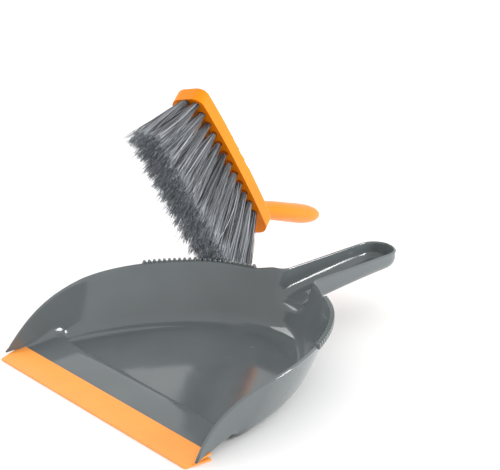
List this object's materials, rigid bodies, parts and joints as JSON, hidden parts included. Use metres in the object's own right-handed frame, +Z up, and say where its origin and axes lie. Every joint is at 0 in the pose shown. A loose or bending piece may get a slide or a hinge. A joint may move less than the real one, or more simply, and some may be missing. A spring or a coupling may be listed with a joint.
{
  "type": "dust pan and brush set",
  "caption": "Open scoop dust pan with a soft pouring lip, bristle comb on the rim and channel handle, with an angled hand brush held beside the comb.",
  "frame": {"origin": "centre of the pan's flat underside, 130 mm behind its front edge", "axes": "+Y from the pouring lip to the pan's handle, +X to the pan's right, +Z up"},
  "size_m": [0.2914, 0.3972, 0.2038],
  "materials": {
    "pan_plastic": "smooth moulded, glossy grey",
    "lip_rubber": "soft satin orange",
    "brush_plastic": "smooth moulded orange",
    "bristles": "fine grey synthetic filament",
    "staple_wire": "drawn wire"
  },
  "bodies": {
    "pan": {"pan_body": "pan_plastic", "lip_strip": "lip_rubber"},
    "brush": {"brush_block": "brush_plastic", "anchor_staples": "staple_wire", "tuft_01": "bristles", "tuft_02": "bristles", "tuft_03": "bristles", "tuft_04": "bristles", "tuft_05": "bristles", "tuft_06": "bristles", "tuft_07": "bristles", "tuft_08": "bristles", "tuft_09": "bristles", "tuft_10": "bristles", "tuft_11": "bristles", "tuft_12": "bristles", "tuft_13": "bristles", "tuft_14": "bristles", "tuft_15": "bristles", "tuft_16": "bristles", "tuft_17": "bristles", "tuft_18": "bristles", "tuft_19": "bristles", "tuft_20": "bristles", "tuft_21": "bristles", "tuft_22": "bristles", "tuft_23": "bristles", "tuft_24": "bristles", "tuft_25": "bristles", "tuft_26": "bristles", "tuft_27": "bristles", "tuft_28": "bristles", "tuft_29": "bristles", "tuft_30": "bristles", "tuft_31": "bristles", "tuft_32": "bristles", "tuft_33": "bristles", "tuft_34": "bristles", "tuft_35": "bristles", "tuft_36": "bristles"}
  },
  "joints": [
    {"name": "brush_lift", "type": "slide", "parent": "pan", "child": "brush", "axis": [0, 0, 1], "range_m": [0, 0.12]}
  ]
}
